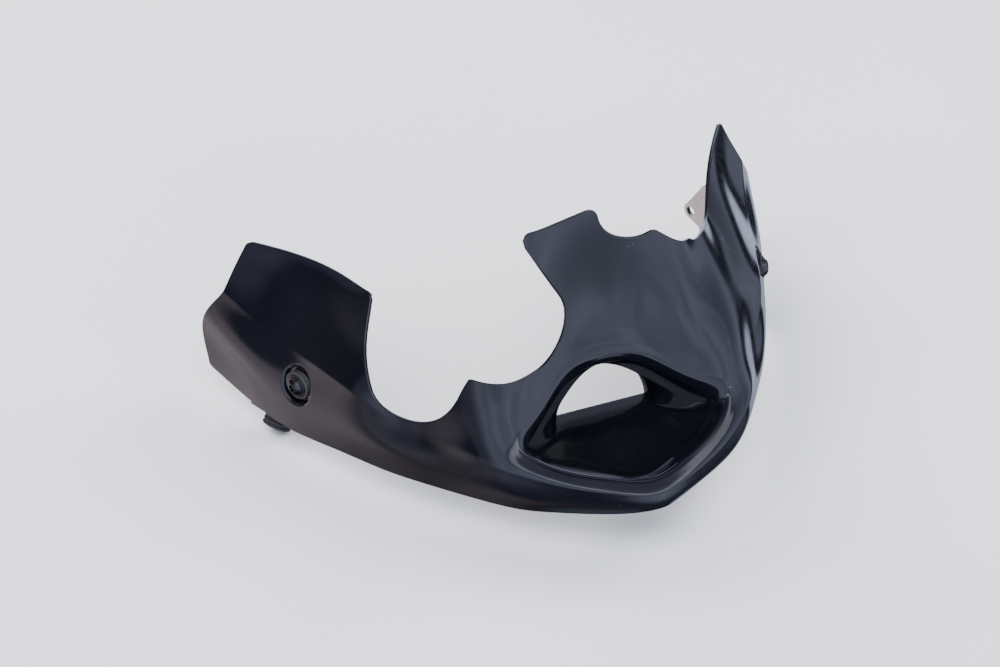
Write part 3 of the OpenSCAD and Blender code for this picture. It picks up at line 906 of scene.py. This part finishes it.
def material(name, colour, roughness, metallic=0.0, coat=0.0, coat_roughness=0.03):
    m = bpy.data.materials.new(name)
    m.use_nodes = True
    shader = m.node_tree.nodes["Principled BSDF"]
    shader.inputs["Base Color"].default_value = (*colour, 1)
    shader.inputs["Roughness"].default_value = roughness
    shader.inputs["Metallic"].default_value = metallic
    shader.inputs["Coat Weight"].default_value = coat
    shader.inputs["Coat Roughness"].default_value = coat_roughness
    return m, m.node_tree, shader


def node(tree, kind, **values):
    """A new node; each value is set on its own property or else on the socket of that name."""
    n = tree.nodes.new(kind)
    for key, value in values.items():
        if hasattr(n, key):
            setattr(n, key, value)
        else:
            n.inputs[key.replace("_", " ")].default_value = value
    return n


def noise(tree, scale, detail=4.0, roughness=0.5, stretch=(1, 1, 1)):
    where = node(tree, "ShaderNodeTexCoord")
    mapping = node(tree, "ShaderNodeMapping", Scale=stretch)
    n = node(tree, "ShaderNodeTexNoise", Scale=scale, Detail=detail, Roughness=roughness)
    tree.links.new(where.outputs["Object"], mapping.inputs["Vector"])
    tree.links.new(mapping.outputs["Vector"], n.inputs["Vector"])
    return n


def ramp(tree, source, stops):
    r = tree.nodes.new("ShaderNodeValToRGB")
    for element, (position, colour) in zip(r.color_ramp.elements, (stops[0], stops[-1])):
        element.position, element.color = position, (*colour, 1)
    for position, colour in stops[1:-1]:
        r.color_ramp.elements.new(position).color = (*colour, 1)
    tree.links.new(source, r.inputs["Fac"])
    return r


def spread(tree, source, low, high):
    m = node(tree, "ShaderNodeMapRange", From_Min=0.3, From_Max=0.7, To_Min=low, To_Max=high)
    tree.links.new(source, m.inputs["Value"])
    return m


def bump(tree, shader, source, strength, distance, under=None, socket="Normal"):
    b = node(tree, "ShaderNodeBump", Strength=strength, Distance=distance)
    tree.links.new(source, b.inputs["Height"])
    if under:
        tree.links.new(under.outputs["Normal"], b.inputs["Normal"])
    tree.links.new(b.outputs["Normal"], shader.inputs[socket])
    return b


def gloss_material(name, dark, light, roughness, speck_amount, lacquer=1.0):
    """Lacquered black plastic: slight orange peel, polishing swirls, dust specks."""
    m, tree, shader = material(name, dark, roughness, coat=lacquer, coat_roughness=0.02)
    shader.inputs["Specular IOR Level"].default_value = 0.08
    tone = noise(tree, 9, 3, 0.55)
    colour = ramp(tree, tone.outputs["Fac"], [(0.35, dark), (0.68, light)])
    specks = noise(tree, 950, 1, 0.4)
    few = noise(tree, 30, 2, 0.5)
    spot = node(tree, "ShaderNodeMath", operation="MULTIPLY")
    tree.links.new(specks.outputs["Fac"], spot.inputs[0])
    tree.links.new(few.outputs["Fac"], spot.inputs[1])
    black, white = (0, 0, 0), (1, 1, 1)
    mask = ramp(tree, spot.outputs["Value"], [(speck_amount, black), (speck_amount + 0.012, white)])
    mix = node(tree, "ShaderNodeMix", data_type="RGBA")
    tree.links.new(mask.outputs["Color"], mix.inputs["Factor"])
    tree.links.new(colour.outputs["Color"], mix.inputs["A"])
    mix.inputs["B"].default_value = (0.42, 0.43, 0.45, 1)
    tree.links.new(mix.outputs["Result"], shader.inputs["Base Color"])
    swirl = node(tree, "ShaderNodeTexWave", wave_type="RINGS", rings_direction="SPHERICAL",
                 Scale=70, Distortion=9, Detail=3)
    where = node(tree, "ShaderNodeTexCoord")
    mapping = node(tree, "ShaderNodeMapping", Location=(0.12, -0.08, 0.1))
    tree.links.new(where.outputs["Object"], mapping.inputs["Vector"])
    tree.links.new(mapping.outputs["Vector"], swirl.inputs["Vector"])
    rough = spread(tree, swirl.outputs["Fac"], roughness - 0.03, roughness + 0.05)
    tree.links.new(rough.outputs["Result"], shader.inputs["Roughness"])
    peel = noise(tree, 260, 2, 0.4)
    wide = noise(tree, 26, 2, 0.4)
    first = bump(tree, shader, wide.outputs["Fac"], 0.05, 0.001)
    bump(tree, shader, peel.outputs["Fac"], 0.05, 0.0004, under=first)
    bump(tree, shader, wide.outputs["Fac"], 0.03, 0.001, socket="Coat Normal")
    return m


def rubber_material(name):
    m, tree, shader = material(name, (0.02, 0.02, 0.021), 0.7)
    tone = noise(tree, 90, 4, 0.6)
    dark, light = (0.012, 0.012, 0.013), (0.045, 0.045, 0.047)
    colour = ramp(tree, tone.outputs["Fac"], [(0.3, dark), (0.7, light)])
    tree.links.new(colour.outputs["Color"], shader.inputs["Base Color"])
    rough = spread(tree, tone.outputs["Fac"], 0.55, 0.85)
    tree.links.new(rough.outputs["Result"], shader.inputs["Roughness"])
    grain = noise(tree, 1400, 2, 0.5)
    bump(tree, shader, grain.outputs["Fac"], 0.25, 0.0002)
    return m


def metal_material(name, dark, light, rough_low, rough_high, stretch=(1, 1, 1), scale=300):
    m, tree, shader = material(name, light, rough_high, metallic=1.0)
    tone = noise(tree, 45, 4, 0.6)
    colour = ramp(tree, tone.outputs["Fac"], [(0.3, dark), (0.7, light)])
    tree.links.new(colour.outputs["Color"], shader.inputs["Base Color"])
    grain = noise(tree, scale, 3, 0.6, stretch)
    rough = spread(tree, grain.outputs["Fac"], rough_low, rough_high)
    tree.links.new(rough.outputs["Result"], shader.inputs["Roughness"])
    bump(tree, shader, grain.outputs["Fac"], 0.12, 0.0002)
    return m


GLOSS = gloss_material("gloss_shell", (0.0024, 0.0026, 0.0050), (0.0044, 0.0048, 0.0088), 0.16, 0.52)
# Duct: darker base colour and much thinner lacquer than the shell, partly for its plain moulded finish and
# partly as painted shade inside the scoop
DUCT = gloss_material("gloss_duct", (0.0018, 0.0019, 0.0030), (0.0032, 0.0034, 0.0050), 0.2, 0.53, 0.18)
RUBBER = rubber_material("rubber")
SLEEVE = metal_material("sleeve_steel", (0.38, 0.38, 0.39), (0.58, 0.58, 0.6), 0.25, 0.45, (1, 1, 6))
WASHER = metal_material("washer_steel", (0.05, 0.05, 0.052), (0.13, 0.13, 0.135), 0.25, 0.45)
SCREW = metal_material("screw_steel", (0.045, 0.045, 0.048), (0.12, 0.12, 0.125), 0.18, 0.36)
ALUMINIUM = metal_material(
    "bracket_aluminium", (0.62, 0.61, 0.60), (0.80, 0.79, 0.77), 0.3, 0.5, (8, 1, 1), 420)


def place(piece, look, stand_in):
    """Gives a piece its material and slot, and lets it take the place of a CAD node."""
    piece.data.materials.clear()
    piece.data.materials.append(look)
    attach(piece, "root")
    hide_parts(stand_in)


def main_pieces():
    build = make_shell()
    for side in (1, -1):
        add_lug(build, side)
    shell = build.make("belly_pan_shell")
    place(shell, GLOSS, "shell")
    duct = make_duct().make("scoop_duct")
    place(duct, DUCT, "intake_duct")


def add_lug(build, side):
    """Flat lug with a round end, its edges rounded, hole in the middle."""
    placed = lug_frame(side)

    def level(flat, z):
        return build.add(to_world(np.concatenate([flat, np.full((len(flat), 1), z)], 1), placed))

    turns = np.radians(np.linspace(-70, -290, 45))
    end = LUG_RADIUS * np.stack([np.cos(turns), -np.sin(turns)], 1)
    far_root = [(x, -y) for x, y in reversed(LUG_ROOT)]
    outline = np.concatenate([LUG_ROOT, end[end[:, 0] < LUG_END_FROM], far_root])
    along = np.roll(outline, -1, 0) - np.roll(outline, 1, 0)
    out = unit(np.stack([along[:, 1], -along[:, 0]], 1))
    if np.mean(np.einsum("ij,ij->i", out, outline - outline.mean(0))) < 0:
        out = -out
    half = LUG_SHEET / 2
    corner = [(LUG_ROUND * (1 - math.sin(a)), half - LUG_ROUND * (1 - math.cos(a))) for a in quarter(5)]
    rings = [level(outline - out * back, z) for back, z in corner]
    rings += [level(outline - out * back, -z) for back, z in reversed(corner)]
    for a, b in zip(rings, rings[1:]):
        build.strip(a, b)
    hole_angle = np.linspace(-np.pi, np.pi, 48, endpoint=False)
    hole = LUG_HOLE * np.stack([np.cos(hole_angle), np.sin(hole_angle)], 1)
    top, low = level(hole, half), level(hole, -half)
    join_rings(build, rings[0], heading_of(outline), top, hole_angle)
    join_rings(build, rings[-1], heading_of(outline), low, hole_angle)
    build.strip(top, low)


def make_grommet(name, placed):
    return ring_piece(name, [
        (5.05, SIDE_LOW), (10, SIDE_LOW), (10, -3.05), (6.95, -3.05), (6.95, 0.05), (10, 0.05), (10, 1.5),
        (8.9, 1.6), (8.9, 2.9), (10, 3.0), (10, SIDE_HIGH), (5.05, SIDE_HIGH)], placed, 0.5)


def make_screw(name, placed):
    """Button head screw: shank with a chamfered end, domed head, hexagon socket."""
    seat = WASHER_TOP
    rings = soft([
        (0.02, SCREW_END), (2.4, SCREW_END), (3, SCREW_END + 0.6), (3, seat),
        (6.8, seat), (6.8, seat + 0.75), (5.75, seat + 0.8)], 0.2)
    for a in np.linspace(0, 1.1, 9):
        rings.append((5.6 * math.cos(a), seat + 0.85 + 2.45 * math.sin(a) / math.sin(1.1)))
    rings += [(2.3, seat + 3.3)]
    rings += [(r, seat + z, "hex") for r, z in ((2.05, 3.05), (2.0, 2.8), (2.0, 1.4), (1.9, 1.3))]
    rings += [(0.02, seat + 0.9)]
    build = Build()
    turned(build, rings, placed)
    return build.make(name)


def make_nut(name, placed):
    """Hexagon nut with a round flange towards the bracket."""
    z = SIDE_LOW - BRACKET_SHEET - NUT_HEIGHT
    rings = soft([
        (3.1, z + 0.4), (3.5, z), (4.6, z), (5, z + 0.35), (5, z + 4.6), (6.5, z + 5.0),
        (6.5, z + NUT_HEIGHT), (3.1, z + NUT_HEIGHT), (3.1, z + 3)], 0.15)
    rings = [(r, at, "hex") if 4.55 < r < 5.2 else (r, at) for r, at in rings]
    build = Build()
    first, last = turned(build, rings, placed)
    build.strip(last, first)
    return build.make(name)


def make_bobbin(name, placed):
    return ring_piece(name, [
        (5.05, LOWER_LOW), (8.9, LOWER_LOW), (9.9, -8.9), (9.9, -7.9), (8.3, -7.4), (8.3, -6.9), (9.9, -6.2),
        (9.9, -5.2), (8.3, -4.7), (8.3, -4.2), (9.9, -3.6), (9.9, -2.4), (8.3, -1.6), (6.45, -1.55),
        (6.45, 1.55), (9.9, 1.55), (9.9, 3.8), (9.1, LOWER_HIGH), (5.05, LOWER_HIGH)], placed, 0.45)


def make_plate(name, source):
    """The bracket's CAD mesh with its sharp edges broken."""
    mesh = source.data.copy()
    plate = bpy.data.objects.new(name, mesh)
    bpy.context.scene.collection.objects.link(plate)
    bm = bmesh.new()
    bm.from_mesh(mesh)
    bmesh.ops.remove_doubles(bm, verts=bm.verts, dist=1e-6)
    bmesh.ops.dissolve_limit(bm, angle_limit=math.radians(1), verts=bm.verts, edges=bm.edges)
    sharp_from = math.radians(50)
    sharp = [e for e in bm.edges if len(e.link_faces) == 2 and e.calc_face_angle(0) > sharp_from]
    bmesh.ops.bevel(bm, geom=sharp, offset=0.00035, segments=2, affect="EDGES", clamp_overlap=True)
    for f in bm.faces:
        f.smooth = True
    bm.to_mesh(mesh)
    bm.free()
    mesh.set_sharp_from_angle(angle=math.radians(32))
    return plate


def fixings(side, word):
    placed = side_frame(side)
    grommet = make_grommet("grommet_" + word, placed)
    place(grommet, RUBBER, "side_grommet_" + word)
    sleeve = tube("sleeve_" + word, SIDE_LOW, SIDE_HIGH, SLEEVE_RADIUS, placed, 0.2)
    place(sleeve, SLEEVE, "side_sleeve_" + word)
    washer = tube("washer_" + word, SIDE_HIGH, WASHER_TOP, WASHER_RADIUS, placed, 0.3)
    place(washer, WASHER, "side_washer_" + word)
    place(make_screw("screw_" + word, placed), SCREW, "side_screw_" + word)
    place(make_nut("nut_" + word, placed), SCREW, "side_nut_" + word)

    placed = lug_frame(side)
    place(make_bobbin("bobbin_" + word, placed), RUBBER, "lower_bobbin_" + word)
    spacer = tube("lower_spacer_" + word, LOWER_LOW, LOWER_HIGH, SLEEVE_RADIUS, placed, 0.2)
    place(spacer, SLEEVE, "lower_sleeve_" + word)
    plate = make_plate("bracket_plate_" + word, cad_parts["bracket_" + word])
    place(plate, ALUMINIUM, "bracket_" + word)


main_pieces()
fixings(1, "left")
fixings(-1, "right")

# Studio: pale floor, soft panels, and surroundings whose left side is darker in front


def add_camera():
    """Camera at the photograph's angle, far off, so that the picture has little perspective."""
    azimuth, elevation = math.radians(-24), math.radians(35)
    distance, view_width, sensor = 15.0, 0.66, 36
    level = math.cos(elevation)
    back = np.array([math.sin(azimuth) * level, -math.cos(azimuth) * level, math.sin(elevation)])
    right = np.array([math.cos(azimuth), math.sin(azimuth), 0])
    upward = np.cross(back, right)
    target = (-104.9 * right + 104.6 * upward + MOVED) / 1000
    data = bpy.data.cameras.new("camera")
    data.sensor_width = sensor
    data.lens = distance * sensor / view_width
    data.clip_end = 4 * distance
    camera = bpy.data.objects.new("camera", data)
    bpy.context.scene.collection.objects.link(camera)
    camera.location = Vector(target + distance * back)
    camera.rotation_euler = Vector(-back).to_track_quat("-Z", "Y").to_euler()
    bpy.context.scene.camera = camera


def panel(name, centre, facing, size, strength):
    """A soft lamp that lights the scene but isn't seen in the gloss."""
    data = bpy.data.lights.new(name, "AREA")
    data.shape = "RECTANGLE"
    data.size, data.size_y = size
    data.energy = strength
    lamp = bpy.data.objects.new(name, data)
    bpy.context.scene.collection.objects.link(lamp)
    lamp.location = centre
    lamp.rotation_euler = (Vector(facing) - Vector(centre)).to_track_quat("-Z", "Y").to_euler()
    lamp.visible_glossy = False


def floor():
    """A plain pale floor just under the lowest piece."""
    gap = 0.0005
    low = min(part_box("lower_bobbin_left")[0].z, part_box("lower_sleeve_left")[0].z)
    bpy.ops.mesh.primitive_plane_add(size=14, location=(0, 0, low - gap))
    ground = bpy.context.object
    ground.name = "studio_floor"
    m, tree, shader = material("studio_floor", (0.83, 0.83, 0.83), 0.75)
    tone = noise(tree, 3, 2, 0.5)
    colour = ramp(tree, tone.outputs["Fac"], [(0.3, (0.80, 0.80, 0.80)), (0.7, (0.84, 0.84, 0.84))])
    tree.links.new(colour.outputs["Color"], shader.inputs["Base Color"])
    ground.data.materials.append(m)
    ground.visible_glossy = False


def studio_light():
    """Surroundings that the gloss mirrors, brighter and darker by direction and height."""
    world = bpy.data.worlds.new("studio")
    bpy.context.scene.world = world
    world.use_nodes = True
    sky = world.node_tree
    where = node(sky, "ShaderNodeTexCoord")
    parts = node(sky, "ShaderNodeSeparateXYZ")
    sky.links.new(where.outputs["Generated"], parts.inputs["Vector"])
    ahead = node(sky, "ShaderNodeMath", operation="MULTIPLY")
    ahead.inputs[1].default_value = -1
    sky.links.new(parts.outputs["Y"], ahead.inputs[0])
    turn = node(sky, "ShaderNodeMath", operation="ARCTAN2")
    sky.links.new(parts.outputs["X"], turn.inputs[0])
    sky.links.new(ahead.outputs["Value"], turn.inputs[1])
    around = node(sky, "ShaderNodeMapRange", From_Min=-math.pi, From_Max=math.pi)
    sky.links.new(turn.outputs["Value"], around.inputs["Value"])
    level = node(sky, "ShaderNodeMapRange", From_Min=-1)
    sky.links.new(parts.outputs["Z"], level.inputs["Value"])

    def joined(operation, a, b):
        both = node(sky, "ShaderNodeVectorMath", operation=operation)
        sky.links.new(a, both.inputs[0])
        sky.links.new(b, both.inputs[1])
        return both.outputs["Vector"]

    def field(turns, rises, tint):
        """Light that depends on the direction around and on the height above the horizon."""
        ring = ramp(sky, around.outputs["Result"], [
            ((180 + degrees) / 360, tuple(np.array(tint) * share)) for degrees, share in turns])
        height = ramp(sky, level.outputs["Result"], [
            ((1 + math.sin(math.radians(degrees))) / 2, (share,) * 3) for degrees, share in rises])
        return joined("MULTIPLY", ring.outputs["Color"], height.outputs["Color"])

    front = field(
        [(-180, 0.02), (-94, 0.02), (-91.5, 0.16), (-86, 0.22), (-78, 0.64), (-55, 0.72), (0, 0.86),
         (60, 0.76), (84, 0.46), (98, 0.26), (108, 0.18), (124, 0.15), (127, 0.01), (132, 0.01),
         (135, 0.5), (160, 0.7), (175, 0.1), (180, 0.02)],
        [(-90, 0.08), (-55, 0.08), (-42, 0.2), (-31, 0.6), (-22, 1.0), (34, 1.0), (44, 0.55), (90, 0.3)],
        (0.86, 0.93, 1.25))
    left = field(
        [(-180, 0.15), (-160, 0.4), (-135, 0.75), (-120, 0.7), (-106, 0.55), (-100, 0.36), (-95, 0.2),
         (-80, 0.05), (-70, 0), (170, 0), (180, 0.15)],
        [(-90, 0.1), (-60, 0.15), (-48, 0.3), (-42, 0.6), (-34, 1.0), (-12, 1.0), (-8, 0.6), (-4, 0.1),
         (0, 0.05), (12, 0.06), (25, 0.3), (45, 0.2), (90, 0.1)],
        (1.08, 0.93, 0.99))
    above = field(
        [(-180, 0), (-100, 0), (-55, 0.7), (0, 1.0), (70, 1.0), (120, 0.4), (150, 0), (180, 0)],
        [(-90, 0), (44, 0), (49, 1.0), (57, 1.0), (64, 0.1), (90, 0)],
        (1.4, 1.44, 1.55))
    total = joined("ADD", joined("ADD", front, left), above)
    folds = node(sky, "ShaderNodeTexNoise", Scale=2.2, Detail=1, Distortion=0.9)
    sky.links.new(where.outputs["Generated"], folds.inputs["Vector"])
    fold = spread(sky, folds.outputs["Fac"], 1.5, 2.2)
    sky.links.new(total, sky.nodes["Background"].inputs["Color"])
    sky.links.new(fold.outputs["Result"], sky.nodes["Background"].inputs["Strength"])


add_camera()
floor()
studio_light()
panel("key_panel", (-1.2, -1.0, 2.2), (0, 0.15, 0.05), (2.2, 1.6), 70)
panel("right_panel", (1.9, 0.2, 1.5), (0, 0.15, 0.05), (1.8, 1.2), 45)
panel("back_panel", (-0.6, 1.8, 1.8), (-0.3, 0.4, 0.0), (2.2, 1.4), 70)
